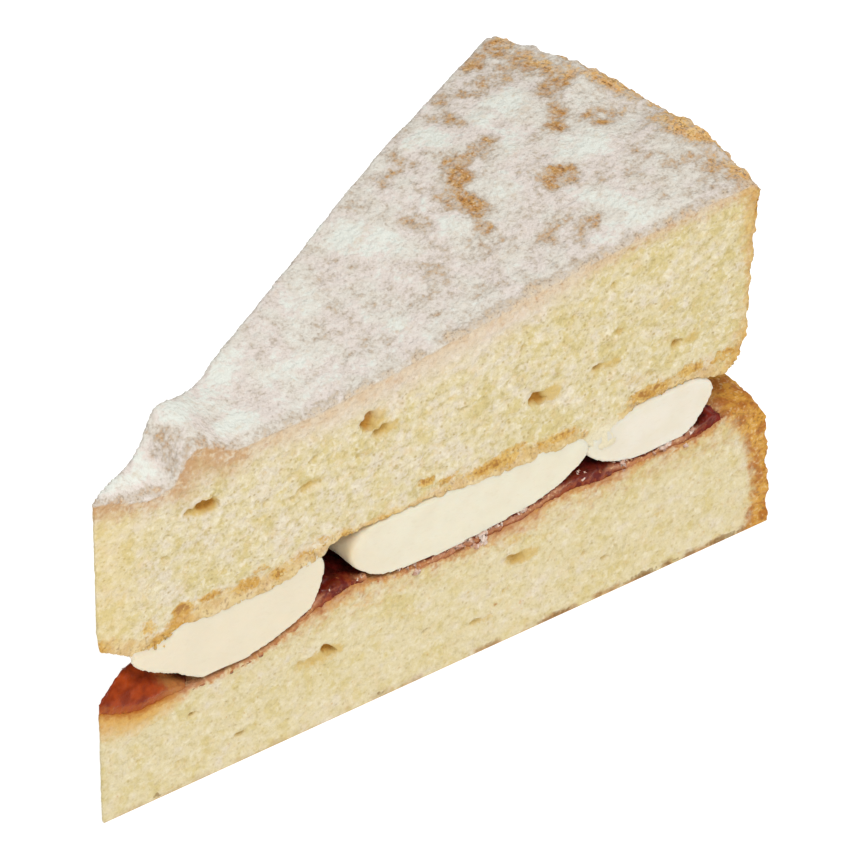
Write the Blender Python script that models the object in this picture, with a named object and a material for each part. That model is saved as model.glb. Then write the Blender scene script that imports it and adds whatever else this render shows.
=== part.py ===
"""One portion of a Victoria sponge: two layers of sponge with jam and three rings of piped buttercream.

The cake was round, and the knife cut it into fourteen. Every piece of the slice starts as a unit block,
cut by planes into a grid. A function then bends the block into the wedge: u runs from the point of the
slice to its rim, v from the front cut to the back cut, and w from the underside to the top.
"""

import math

import bmesh
import bpy
from mathutils import Matrix, Vector, noise

MM = 0.001


def in_mm(*values):
    return tuple(value * MM for value in values)


# The cake and the cut. A radius is always measured from the axis of the whole cake.
CAKE_RADIUS = 130 * MM
PORTIONS = 14
HALF_ANGLE = math.pi / PORTIONS
POINT_RADIUS = 0.8 * MM  # the knife leaves the point this blunt
RIM_BULGE = 1.5 * MM  # the rim stands out this much more between the two cuts
RIM_WAVES = (0.25, 9 * MM, 3.0)  # a share of the bulge
TOUCH_GAP = 0.3 * MM  # left between pieces that lie on each other

# A span is four radii, at which a feature starts, is full, eases and has ended. Past the rim it never ends.
# A swell is its height, its radius and its half width. Waves are their height, their width and their seed.

# The lower sponge.
LOWER_TOP = 23.6 * MM
PRESSED_DIP = 3.7 * MM  # how deep the innermost ring sank in
PRESSED_SPAN = in_mm(-2, 8.5, 27, 45)
LOWER_SWELLS = (in_mm(2.1, 49.5, 6), in_mm(-1.1, 70, 9), in_mm(1.3, 90.5, 4.5), in_mm(0.6, 106, 9))
LOWER_WAVES = (0.25 * MM, 12 * MM, 7.0)
CRUST_LIP = 2.4 * MM  # the baked edge stands this much higher than the crumb inside it
CRUST_LIP_SPAN = in_mm(115, 125, 140, 150)
LOWER_SHOULDER = 4.4 * MM  # radius of the outer top edge

# The upper sponge.
UPPER_UNDERSIDE = 36.2 * MM
SETTLED = 2.1 * MM  # its underside sank this far over the innermost ring
SETTLED_SPAN = in_mm(2, 9, 35, 46)
TORN_LIP = 3.5 * MM  # crumb that tore down over the filling at the front of the point
TORN_LIP_SPAN = in_mm(-4, 7.5, 12.5, 17.5)
TORN_LIP_FADE = 4  # the higher this power, the sooner the lip ends behind the front cut
UNDERSIDE_SWELLS = (in_mm(-1.2, 99, 6),)
UNDERSIDE_WAVES = (0.3 * MM, 12 * MM, 17.0)
RIM_SAG = 2.5 * MM
RIM_SAG_SPAN = in_mm(115, 123, 140, 150)
RIM_LEAN = 2.6 * MM  # below its top edge the rim stands back this much
RIM_LEAN_POWER = 2.5
RIM_TUCK = 3.0 * MM  # and this much more at the underside
RIM_TUCK_POWER = 8
UNDERSIDE_SHOULDER = 1.4 * MM
POINT_TOP = 66.0 * MM  # the top crust at the point
RIM_RISE = 5.0 * MM  # the top crust is this much higher at the rim
RIM_RISE_SPAN = in_mm(35, 105, 140, 150)
FAR_SIDE_TILT = 1.8 * MM  # at the back cut it is this much higher, and at the front cut as much lower
TILT_SPAN = in_mm(0, 12, 75, 125)
RIDGE_RISE = 3.9 * MM  # a wrinkle that rose in the oven, across the slice near its point
RIDGE_SPAN = in_mm(15.5, 19.5, 20.5, 30)
RIDGE_FADE = 0.12  # share by which it is lower at the back cut, and higher at the front cut
RIDGE_FOOT = in_mm(-2.0, 12, 5.5)  # the hollow before that wrinkle
CREASE = in_mm(-1.3, 34, 4)  # the crease behind it, deepest at the back cut
CROWN = 0.9 * MM  # how much the top swells between the two cuts near the rim
CROWN_SPAN = in_mm(60, 120, 140, 150)
RIM_NOTCH = 1.9 * MM  # a dent in the rim's top edge, just to the front of the middle line
RIM_NOTCH_SPAN = in_mm(116, 126, 140, 150)
RIM_NOTCH_SIDE = -0.04
RIM_NOTCH_HALF_WIDTH = 0.15
TOP_WAVES = (0.45 * MM, 12 * MM, 23.0)
UPPER_SHOULDER = 1.9 * MM

# The jam.
JAM_START = POINT_RADIUS
JAM_END = 121.6 * MM
JAM_THIN = 0.6 * MM  # under the innermost ring, which the upper sponge presses down most
JAM_THICK = 2.0 * MM
JAM_THICKENS = in_mm(54, 70, 140, 150)
# It was squeezed out beside the rings, and away from under the outermost one.
JAM_SWELLS = (in_mm(2.4, 45, 4), in_mm(1.9, 96.5, 4), in_mm(-0.9, 106, 5), in_mm(2.0, 119.5, 3.5))
JAM_HEAP = 7.4 * MM  # pushed towards the point by the innermost ring
JAM_HEAP_SPAN = in_mm(-1.5, 8, 10, 19)
JAM_HEAP_FADE = 0.36  # share of it lost from the back cut to the middle line, and again to the front cut
JAM_WAVES = (0.2 * MM, 10 * MM, 11.0)
JAM_END_WAVES = (0.8 * MM, 6 * MM, 31.0)
JAM_RIM = 2.4 * MM  # towards its outer end the jam runs out over this length
JAM_RUN_OUT = 0.8  # share of its thickness lost there
JAM_SLUMP = 0.3  # share lost at the two cuts, where it slumped
JAM_SLUMP_FROM = 0.6  # how far from the middle line to a cut that starts
JAM_THINNEST = 0.4 * MM

# The buttercream: (inner radius, outer radius) of each ring on the middle line of the slice.
CREAM_RINGS = {
    "cream_inner": in_mm(12.0, 44.0),
    "cream_middle": in_mm(49.3, 94.7),
    "cream_outer": in_mm(95.2, 118.7),
}
RING_LEAN = {  # how far the top of a ring's inner and outer end was pushed past its middle
    "cream_inner": in_mm(7.0, 0.5),
    "cream_middle": in_mm(0.0, 2.2),
    "cream_outer": in_mm(0.0, 2.2),
}
RING_ROUNDING = {  # length of a ring's round inner and outer end, as a multiple of half its height
    "cream_inner": (0.3, 0.35),
    "cream_middle": (1.1, 1.1),
    "cream_outer": (1.9, 0.7),
}
RING_WAVES = (0.5 * MM, 10 * MM, 41.0)

# The slice's box is centred on the origin.
AXIS_X = -(CAKE_RADIUS + RIM_BULGE + POINT_RADIUS * math.cos(HALF_ANGLE)) / 2

COLOURS = {  # (red, green, blue, roughness)
    "sponge": (0.80, 0.62, 0.31, 0.90),
    "jam": (0.30, 0.03, 0.02, 0.25),
    "buttercream": (0.90, 0.80, 0.62, 0.55),
}


def smoothstep(value, start, end):
    """0 before start, 1 after end, and a smooth rise between them."""
    share = min(1.0, max(0.0, (value - start) / (end - start)))
    return share * share * (3 - 2 * share)


def plateau(radius, span):
    """0 outside the span, 1 in its middle, with a smooth rise and fall."""
    starts, full, eases, ended = span
    return smoothstep(radius, starts, full) * (1 - smoothstep(radius, eases, ended))


def swell(radius, shape):
    """A smooth bump or hollow around a radius."""
    height, centre, half_width = shape
    return height * math.exp(-(((radius - centre) / half_width) ** 2))


def waves(radius, angle, shape):
    """Smooth noise over the slice as seen from above."""
    height, width, seed = shape
    place = Vector((radius * math.cos(angle), radius * math.sin(angle), 0)) / width
    return height * noise.noise(place + Vector((0, 0, seed)))


def side(angle):
    """-1 at the front cut, 1 at the back cut."""
    return angle / HALF_ANGLE


def angle_at(v):
    """The angle of a place in the block, which runs from one cut to the other."""
    return (2 * v - 1) * HALF_ANGLE


def shoulder(from_rim, size):
    """How far an edge rounded to this radius has dropped, this far inside the rim."""
    past = min(1.0, max(0.0, 1 - from_rim / size))
    return size * (1 - math.sqrt(1 - past * past))


def rim_radius(angle):
    """The rim as seen from above: round, a little full between the cuts, and uneven."""
    full = RIM_BULGE * (1 - side(angle) ** 2)
    return CAKE_RADIUS + full * (1 + waves(CAKE_RADIUS, angle, RIM_WAVES))


def lower_top(radius, angle):
    """The top of the lower sponge, pressed in under the innermost ring."""
    height = LOWER_TOP - PRESSED_DIP * plateau(radius, PRESSED_SPAN)
    height += sum(swell(radius, shape) for shape in LOWER_SWELLS)
    height += CRUST_LIP * plateau(radius, CRUST_LIP_SPAN)
    return height + waves(radius, angle, LOWER_WAVES)


def jam_thickness(radius, angle):
    """Thin under the rings, thicker beside them, heaped behind the point, and slumped at the cuts."""
    depth = JAM_THIN + (JAM_THICK - JAM_THIN) * plateau(radius, JAM_THICKENS)
    depth += sum(swell(radius, shape) for shape in JAM_SWELLS)
    depth += JAM_HEAP * plateau(radius, JAM_HEAP_SPAN) * (1 - JAM_HEAP_FADE * (1 - side(angle)))
    depth += waves(radius, angle, JAM_WAVES)
    depth *= 1 - JAM_SLUMP * smoothstep(abs(side(angle)), JAM_SLUMP_FROM, 1)
    depth *= 1 - JAM_RUN_OUT * smoothstep(radius, JAM_END - JAM_RIM, JAM_END)
    return max(JAM_THINNEST, depth)


def jam_top(radius, angle):
    return lower_top(radius, angle) + TOUCH_GAP + jam_thickness(radius, angle)


def upper_underside(radius, angle):
    """The underside of the upper sponge, with a torn lip that hangs over the point of the filling."""
    near_front = (1 - side(angle)) / 2
    height = UPPER_UNDERSIDE - SETTLED * plateau(radius, SETTLED_SPAN)
    height -= TORN_LIP * near_front**TORN_LIP_FADE * plateau(radius, TORN_LIP_SPAN)
    height -= RIM_SAG * plateau(radius, RIM_SAG_SPAN)
    height += sum(swell(radius, shape) for shape in UNDERSIDE_SWELLS)
    return height + waves(radius, angle, UNDERSIDE_WAVES)


def upper_top(radius, angle):
    """The top crust: it rises to the rim, tilts to the front cut, and has a baked ridge near the point."""
    across = side(angle)
    height = POINT_TOP + RIM_RISE * plateau(radius, RIM_RISE_SPAN)
    height += FAR_SIDE_TILT * across * plateau(radius, TILT_SPAN)
    height += RIDGE_RISE * plateau(radius, RIDGE_SPAN) * (1 - RIDGE_FADE * across)
    height += swell(radius, RIDGE_FOOT)
    height += swell(radius, CREASE) * (1 + across) / 2
    height += CROWN * (1 - across**2) * plateau(radius, CROWN_SPAN)
    dent = math.exp(-(((across - RIM_NOTCH_SIDE) / RIM_NOTCH_HALF_WIDTH) ** 2))
    height -= RIM_NOTCH * dent * plateau(radius, RIM_NOTCH_SPAN)
    return height + waves(radius, angle, TOP_WAVES)


def in_wedge(radius, angle, height):
    """A place in the slice as a point: the cake's own axis stands at AXIS_X."""
    return Vector((AXIS_X + radius * math.cos(angle), radius * math.sin(angle), height))


def bend_lower_sponge(u, v, w):
    angle = angle_at(v)
    rim = rim_radius(angle)
    radius = POINT_RADIUS + (rim - POINT_RADIUS) * u
    height = lower_top(radius, angle) - shoulder(rim - radius, LOWER_SHOULDER)
    return in_wedge(radius, angle, w * height)


def bend_upper_sponge(u, v, w):
    """The rim leans in towards the underside, the way the tin's rounded wall left it."""
    angle = angle_at(v)
    rim = rim_radius(angle) - RIM_LEAN * (1 - w**RIM_LEAN_POWER) - RIM_TUCK * (1 - w) ** RIM_TUCK_POWER
    radius = POINT_RADIUS + (rim - POINT_RADIUS) * u
    low = upper_underside(radius, angle) + shoulder(rim - radius, UNDERSIDE_SHOULDER)
    high = upper_top(radius, angle) - shoulder(rim - radius, UPPER_SHOULDER)
    return in_wedge(radius, angle, low + (high - low) * w)


def bend_jam(u, v, w):
    angle = angle_at(v)
    end = JAM_END + waves(JAM_END, angle, JAM_END_WAVES)
    radius = JAM_START + (end - JAM_START) * u
    low = lower_top(radius, angle) + TOUCH_GAP
    return in_wedge(radius, angle, low + jam_thickness(radius, angle) * w)


def rounded_end(along, over, length, reach):
    """Turns a place in a rectangle into one in the same rectangle with a round end of that reach.

    along is from -1 to 1 over the length, and over from -1 to 1 over the height.
    """
    straight = length / 2 - reach
    past = (abs(along) * length / 2 - straight) / reach
    if past <= 0:
        return along, over
    round_past = past * math.sqrt(1 - over * over / 2)
    round_over = over * math.sqrt(1 - past * past / 2)
    along = math.copysign((straight + reach * round_past) / (length / 2), along)
    return along, round_over


def bend_cream(name):
    """A rope of buttercream, piped round the cake's axis and pressed flat between jam and sponge."""
    start, outer = CREAM_RINGS[name]

    def bend(u, v, w):
        angle = angle_at(v)
        end = outer + waves(outer, angle, RING_WAVES)
        middle = (start + end) / 2
        room = upper_underside(middle, angle) - jam_top(middle, angle) - 2 * TOUCH_GAP
        outer_half = u > 0.5
        reach = RING_ROUNDING[name][outer_half] * room / 2
        along, over = rounded_end(2 * u - 1, 2 * w - 1, end - start, reach)
        radius = middle + along * (end - start) / 2
        radius += math.copysign(RING_LEAN[name][outer_half], along) * over * smoothstep(abs(along), 0, 1)
        low = jam_top(radius, angle) + TOUCH_GAP
        high = upper_underside(radius, angle) - TOUCH_GAP
        return in_wedge(radius, angle, (low + high) / 2 + over * (high - low) / 2)

    return bend


def cuts(*stretches):
    """Places that divide a side of the unit block: each stretch is (start, end, number of cells)."""
    places = []
    for start, end, cells in stretches:
        places += [start + (end - start) * step / cells for step in range(1, cells + 1)]
    return places[:-1]


def unit_block(*cuts_by_axis):
    """A cube from 0 to 1, with its faces cut into a grid by planes."""
    block = bmesh.new()
    bmesh.ops.create_cube(block, size=1, matrix=Matrix.Translation((0.5, 0.5, 0.5)))
    for axis, places in enumerate(cuts_by_axis):
        normal = Vector([float(axis == other) for other in range(3)])
        for place in places:
            everything = block.verts[:] + block.edges[:] + block.faces[:]
            bmesh.ops.bisect_plane(block, geom=everything, plane_co=normal * place, plane_no=normal)
    return block


def make_piece(name, slot, cuts_by_axis, bend):
    """Bends a block into its piece and gives it its colour."""
    block = unit_block(*cuts_by_axis)
    for vert in block.verts:
        vert.co = bend(*vert.co)
    bmesh.ops.triangulate(block, faces=block.faces[:])
    bmesh.ops.recalc_face_normals(block, faces=block.faces[:])
    mesh = bpy.data.meshes.new(name)
    block.to_mesh(mesh)
    block.free()
    mesh.shade_smooth()
    mesh.set_sharp_from_angle(angle=math.radians(40))
    mesh.materials.append(material(slot))
    piece = bpy.data.objects.new(name, mesh)
    bpy.context.scene.collection.objects.link(piece)
    return piece


def material(slot):
    """The plain colour of a food, made once."""
    if slot in bpy.data.materials:
        return bpy.data.materials[slot]
    made = bpy.data.materials.new(slot)
    made.use_nodes = True
    red, green, blue, roughness = COLOURS[slot]
    shader = made.node_tree.nodes["Principled BSDF"]
    shader.inputs["Base Color"].default_value = (red, green, blue, 1)
    shader.inputs["Roughness"].default_value = roughness
    shader.inputs["Metallic"].default_value = 0
    return made


def main():
    for thing in list(bpy.data.objects):
        bpy.data.objects.remove(thing)
    across = cuts((0, 1, 9))
    lower_grid = (cuts((0, 0.15, 8), (0.15, 0.9, 20), (0.9, 1, 6)), across, cuts((0, 1, 5)))
    upper_grid = (cuts((0, 0.3, 18), (0.3, 0.9, 18), (0.9, 1, 7)), across, cuts((0, 0.3, 4), (0.3, 1, 5)))
    jam_grid = (cuts((0, 0.2, 14), (0.2, 1, 36)), across, [])
    cream_grid = (cuts((0, 1, 16)), across, cuts((0, 1, 6)))
    make_piece("lower_sponge", "sponge", lower_grid, bend_lower_sponge)
    make_piece("jam", "jam", jam_grid, bend_jam)
    for name in CREAM_RINGS:
        make_piece(name, "buttercream", cream_grid, bend_cream(name))
    make_piece("upper_sponge", "sponge", upper_grid, bend_upper_sponge)


main()
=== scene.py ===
# %% [markdown]
# # A slice of victoria sponge cake
# Two sponges lie one on the other with raspberry jam and three piped rings of buttercream between them.
# The cake was cut into fourteen, so the slice is a long thin wedge that stands with its point to the left.
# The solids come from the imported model. This lesson gives them their crumb, crust, sugar, jam and cream.

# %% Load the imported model
import math
import random

import bpy
import numpy as np
from mathutils import Matrix, Vector, noise
from mathutils.bvhtree import BVHTree


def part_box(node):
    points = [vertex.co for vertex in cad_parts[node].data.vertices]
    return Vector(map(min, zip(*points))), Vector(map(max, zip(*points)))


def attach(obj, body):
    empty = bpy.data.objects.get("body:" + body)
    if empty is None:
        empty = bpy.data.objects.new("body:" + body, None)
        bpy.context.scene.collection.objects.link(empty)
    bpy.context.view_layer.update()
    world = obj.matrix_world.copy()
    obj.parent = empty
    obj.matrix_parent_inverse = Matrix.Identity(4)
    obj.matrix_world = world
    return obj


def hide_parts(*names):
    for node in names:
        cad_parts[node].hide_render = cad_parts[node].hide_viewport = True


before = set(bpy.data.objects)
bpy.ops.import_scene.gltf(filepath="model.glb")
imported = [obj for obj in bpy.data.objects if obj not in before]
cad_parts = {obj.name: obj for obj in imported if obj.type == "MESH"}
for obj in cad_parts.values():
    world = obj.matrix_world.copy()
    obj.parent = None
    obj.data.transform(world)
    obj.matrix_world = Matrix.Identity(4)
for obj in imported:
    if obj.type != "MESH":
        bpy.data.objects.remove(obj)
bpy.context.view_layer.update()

scene = bpy.context.scene
MM = 0.001
print("nodes:", sorted(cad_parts))

# %% [markdown]
# ## The slice's own measures
# Everything on the slice is easier to place from the cake's centre than from the model's origin.
# Along is counted from that centre to the rim, across is counted from the middle of the wedge, and both are in
# millimetres. The two cuts meet at the centre, a fourteenth of a turn apart, and the point is a little blunt.

# %% Find the cake's centre and the directions of the two cuts
HALF_ANGLE = math.pi / 14
BLUNT_POINT = 0.8
lower_low, lower_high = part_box("lower_sponge")
CENTRE_X = lower_low.x / MM - BLUNT_POINT * math.cos(HALF_ANGLE)
RIM = lower_high.x / MM - CENTRE_X
SIN, COS = math.sin(HALF_ANGLE), math.cos(HALF_ANGLE)
FRONT = {"along": Vector((COS, -SIN, 0)), "out": Vector((-SIN, -COS, 0))}
BACK = {"along": Vector((COS, SIN, 0)), "out": Vector((-SIN, COS, 0))}


def place(along, across, height):
    """The point of the model, in metres, for a place on the slice in millimetres."""
    return Vector((CENTRE_X + along, across, height)) * MM


print(f"centre of the cake at x {CENTRE_X:.1f} mm, rim {RIM:.1f} mm from it")

# %% [markdown]
# ## Camera
# A slice is looked at from above and from the side of its cut. A very long lens from far away keeps the edges
# nearly parallel, as a catalogue picture has them, so the camera stands four metres away.

# %% Add the camera
RISE, TURN, ROLL = math.radians(39.6), math.radians(-46.8), math.radians(-1.1)
VIEW_DISTANCE, VIEW_WIDTH = 4.0, 0.13535
towards = Vector((math.sin(TURN) * math.cos(RISE), -math.cos(TURN) * math.cos(RISE), math.sin(RISE)))
level = Vector((math.cos(TURN), math.sin(TURN), 0))
upright = towards.cross(level)
right = math.cos(ROLL) * level + math.sin(ROLL) * upright
up = math.cos(ROLL) * upright - math.sin(ROLL) * level
aim = place(64.83, 0, 35) + (8.6 * right + 5.73 * up) * MM

bpy.ops.object.camera_add()
camera = bpy.context.object
camera.data.lens = camera.data.sensor_width * VIEW_DISTANCE / VIEW_WIDTH
camera.data.clip_end = 100
stand = Matrix((right, up, towards)).transposed().to_4x4()
stand.translation = aim + towards * VIEW_DISTANCE
camera.matrix_world = stand
scene.camera = camera
print(f"camera {VIEW_DISTANCE} m away with a {camera.data.lens:.0f} mm lens")

# %% [markdown]
# ## Light and floor
# Food is often shown on white, with light from every side and hardly a shadow. A bright plain sky does most of
# that here. One large lamp from the left and one from the right front give the crumb and the sugar their shape.

# %% Add the sky, two lamps and the floor
sky = bpy.data.worlds.new("plain_sky")
sky.use_nodes = True
light_all_round = sky.node_tree.nodes["Background"].inputs
light_all_round["Color"].default_value = (1, 1, 1, 1)
light_all_round["Strength"].default_value = 0.42
scene.world = sky
scene.view_settings.view_transform = "Standard"


def lamp(name, direction, watts, size):
    """A large square lamp, 1.2 m from the slice in that direction and turned to it."""
    bpy.ops.object.light_add(type="AREA", location=Vector(direction).normalized() * 1.2)
    made = bpy.context.object
    made.name = name
    made.data.energy = watts
    made.data.size = size
    made.rotation_euler = Vector(direction).to_track_quat("Z", "Y").to_euler()


lamp("lamp_front", (-0.25, -0.45, 0.9), 8, 0.45)
lamp("lamp_right", (0.9, -0.3, 0.6), 1.5, 0.7)

bpy.ops.mesh.primitive_plane_add(size=8, location=(0, 0, -0.05 * MM))
floor = bpy.context.object
floor.name = "floor"
floor_paint = bpy.data.materials.new("white_board")
floor_paint.use_nodes = True
board = floor_paint.node_tree.nodes["Principled BSDF"]
for socket, value in {"Base Color": (0.4, 0.4, 0.4, 1), "Roughness": 0.9, "Specular IOR Level": 0.1,
                      "Emission Color": (1, 1, 1, 1), "Emission Strength": 0.85}.items():
    board.inputs[socket].default_value = value
floor.data.materials.append(floor_paint)
print("sky, two lamps and a white board")

# %% [markdown]
# ## Tools for shaping
# Six small helpers do what a hand does in the window: choose one piece, take a copy of a solid, add a modifier
# and apply it, lay an even net over a piece, read where its points are, and count its triangles.

# %% Define the shaping tools
def only(piece):
    """Deselects everything and selects this piece, so that an operator acts on it alone."""
    bpy.ops.object.select_all(action="DESELECT")
    piece.select_set(True)
    bpy.context.view_layer.objects.active = piece
    return piece


def copy_of(node, name):
    """A new piece with the node's shape, its loose triangles merged into one closed surface."""
    piece = bpy.data.objects.new(name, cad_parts[node].data.copy())
    scene.collection.objects.link(piece)
    piece.data.materials.clear()
    only(piece)
    bpy.ops.mesh.customdata_custom_splitnormals_clear()
    bpy.ops.object.mode_set(mode="EDIT")
    bpy.ops.mesh.select_all(action="SELECT")
    bpy.ops.mesh.remove_doubles(threshold=0.001 * MM)
    bpy.ops.object.mode_set(mode="OBJECT")
    return piece


def finish_with(piece, kind, **settings):
    """Adds a modifier with these settings and applies it."""
    modifier = only(piece).modifiers.new(kind, kind)
    for setting, value in settings.items():
        setattr(modifier, setting, value)
    bpy.ops.object.modifier_apply(modifier=modifier.name)


def remesh(piece, size):
    """An even net of cells of that size. It follows the axes, so the front cut is turned along one meanwhile."""
    about_centre = Matrix.Translation(place(0, 0, 0)) @ Matrix.Rotation(HALF_ANGLE, 4, "Z")
    there = about_centre @ Matrix.Translation(-place(0, 0, 0))
    piece.data.transform(there)
    finish_with(piece, "REMESH", mode="VOXEL", voxel_size=size * MM)
    finish_with(piece, "SMOOTH", factor=0.5, iterations=3)
    piece.data.transform(there.inverted())


def places(piece):
    """Along, across and height of every point of the piece, in millimetres."""
    flat = np.empty(len(piece.data.vertices) * 3)
    piece.data.vertices.foreach_get("co", flat)
    spots = flat.reshape(-1, 3) / MM
    return spots[:, 0] - CENTRE_X, spots[:, 1], spots[:, 2]


def triangles(piece):
    """How many triangles the piece has."""
    return sum(len(face.vertices) - 2 for face in piece.data.polygons)


# %% [markdown]
# ## Tools for measuring
# The crumb shows where the knife went, and the skin of the bake shows everywhere else. So every point is asked
# how deep it lies behind the nearer cut, and how far it is from the baked top, underside and rim.
# These distances later steer the relief and the colours, and they are kept on the mesh as attributes.

# %% Define the measuring tools
def ease(start, end, values):
    """0 up to start, 1 from end on, and a smooth step between them."""
    share = np.clip((values - start) / (end - start), 0, 1)
    return share * share * (3 - 2 * share)


def span(values, start, full, fading, end):
    """1 from full to fading, and 0 before start and after end."""
    return np.minimum(ease(start, full, values), ease(end, fading, values))


def behind_cut(along, across):
    """Millimetres behind the nearer of the two cuts."""
    return along * SIN - np.abs(across) * COS


SKINS = {
    "top": lambda normal, centre, middle: normal.z > 0.2 and centre.z > middle,
    "under": lambda normal, centre, middle: normal.z < -0.2 and centre.z < middle,
    "rim": lambda normal, centre, middle: abs(normal.z) <= 0.85 and normal.x > 0.5,
    "whole": lambda normal, centre, middle: True,
}


def skin_tree(node, skin):
    """A search tree of the node's faces that belong to that skin, or of all its faces for whole."""
    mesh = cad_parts[node].data
    low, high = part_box(node)
    middle = (low.z + high.z) / 2
    chosen = [tuple(f.vertices) for f in mesh.polygons if SKINS[skin](f.normal, f.center, middle)]
    return BVHTree.FromPolygons([v.co for v in mesh.vertices], chosen)


def distances(piece, node, skin, reach=6.0):
    """Millimetres from every point of the piece to that skin of the node, up to reach."""
    tree = skin_tree(node, skin)
    found = (tree.find_nearest(v.co, reach * MM)[3] for v in piece.data.vertices)
    return np.array([reach if far is None else far / MM for far in found])


def patches(size, seed, *spots):
    """Soft noise between -1 and 1 at every point, with patches of about size millimetres."""
    shift = 17.3 * seed
    return np.array([noise.noise(Vector((x / size + shift, y / size, z / size))) for x, y, z in zip(*spots)])


def weigh(piece, **groups):
    """Vertex groups with these weights, in steps of a fortieth."""
    for name, weights in groups.items():
        group = piece.vertex_groups.new(name=name)
        steps = np.rint(np.clip(weights, 0, 1) * 40).astype(int)
        for step in range(1, 41):
            group.add(np.nonzero(steps == step)[0].tolist(), step / 40, "REPLACE")


def remember(piece, **numbers):
    """Keeps a number of each name for every point of the piece, for its material to read."""
    for name, values in numbers.items():
        kept = piece.data.attributes.new(name, "FLOAT", "POINT")
        kept.data.foreach_set("value", values.astype(np.float32))


# %% [markdown]
# ## Relief
# Crumb, crust and jam are rough at several sizes at once. A Displace modifier moves the points of a dense mesh
# along their normals by the value of a texture, and a vertex group says where. An empty that is scaled makes a
# texture's cells longer than they are high, as the bubbles in a risen sponge are. The same modifier without a
# texture swells a piece, or pushes part of it down.

# %% Define the relief tools
bpy.ops.object.empty_add()
stretched = bpy.context.object
stretched.scale = (1.7, 1.7, 1.0)
bpy.context.view_layer.update()


def roughen(piece, where, kind, size, strength, middle=0.5, guide=None):
    """Moves the points of a vertex group in and out by a texture with cells of that size, in millimetres."""
    texture = bpy.data.textures.new(f"{piece.name}_{where}_{size}", kind)
    texture.noise_scale = size * MM
    guide = {"texture_coords": "OBJECT", "texture_coords_object": guide} if guide else {}
    finish_with(piece, "DISPLACE", texture=texture, strength=strength * MM, mid_level=middle,
                vertex_group=where, **guide)


def swell(piece, amount, where="", **settings):
    """Moves a vertex group, or all points, outwards by that many millimetres, or up with direction Z."""
    finish_with(piece, "DISPLACE", strength=amount * MM, mid_level=0, vertex_group=where, **settings)


# %% [markdown]
# ## Bubbles in the crumb
# Where the knife crosses a bubble, it leaves a small open pit. The larger ones are cut out of the solid as real
# holes. A bubble starts as an icosphere with its points pushed about, and every bubble is a stretched, turned
# copy of one of three. All the copies are joined, so that one Boolean modifier cuts them at once.

# %% Make three bubbles and the tool that cuts them
def pebble(name, seed, rough=0.16, faces=2):
    """A roughened ball of one millimetre across, for bubbles and crumbs."""
    bpy.ops.object.select_all(action="DESELECT")
    bpy.ops.mesh.primitive_ico_sphere_add(subdivisions=faces, radius=0.5 * MM)
    made = bpy.context.object
    made.name = name
    bpy.ops.object.mode_set(mode="EDIT")
    bpy.ops.transform.vertex_random(offset=rough * MM, uniform=0.3, normal=0.7, seed=seed)
    bpy.ops.object.mode_set(mode="OBJECT")
    return made


bubble_shapes = [pebble(f"bubble_shape_{seed}", seed) for seed in (2, 5, 9)]


def copies_joined(name, shapes, matrices):
    """One object from copies of the shapes, one copy for each matrix."""
    made = []
    for number, matrix in enumerate(matrices):
        copy = bpy.data.objects.new(f"{name}_{number}", shapes[number % len(shapes)].data.copy())
        copy.data.transform(matrix)
        scene.collection.objects.link(copy)
        made.append(copy)
    bpy.ops.object.select_all(action="DESELECT")
    for copy in made:
        copy.select_set(True)
    bpy.context.view_layer.objects.active = made[0]
    bpy.ops.object.join()
    made[0].name = name
    return made[0]


def bubble(cut, along, height, length, tall, deep, tilt=0, sunk=0.15):
    """Where one bubble lies on a cut: its size in millimetres and its tilt in degrees, up towards the rim."""
    upwards = Vector((0, 0, 1))
    turn = Matrix((cut["along"], upwards.cross(cut["along"]), upwards)).transposed().to_4x4()
    size = Matrix.Diagonal((length, 2 * deep, tall, 1))
    centre = Vector((CENTRE_X, 0, height)) * MM + (along * cut["along"] - sunk * deep * cut["out"]) * MM
    return Matrix.Translation(centre) @ turn @ Matrix.Rotation(-math.radians(tilt), 4, "Y") @ size


def scattered_bubbles(cut, seed, count, lowest, highest, start=6, end=124):
    """Small bubbles at seeded places on a cut, none of them touching another."""
    draw = random.Random(seed)
    spots, made = [], []
    while len(made) < count:
        along, height = draw.uniform(start, end), draw.uniform(lowest, highest)
        size = draw.choice((0.9, 1.0, 1.1, 1.2, 1.4, 1.7))
        if all(math.hypot(along - a, height - h) > size + s + 0.6 for a, h, s in spots):
            spots.append((along, height, size))
            made.append(bubble(cut, along, height, size * draw.uniform(1.0, 1.9), size * draw.uniform(0.7, 1.0),
                               draw.uniform(0.5, 0.9), draw.uniform(-15, 35)))
    return made


def cut_bubbles(piece, matrices):
    """Cuts the bubbles out of the piece."""
    cutter = copies_joined(f"{piece.name}_bubbles", bubble_shapes, matrices)
    finish_with(piece, "BOOLEAN", operation="DIFFERENCE", solver="EXACT", use_self=True, object=cutter)
    bpy.data.objects.remove(cutter)
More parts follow.
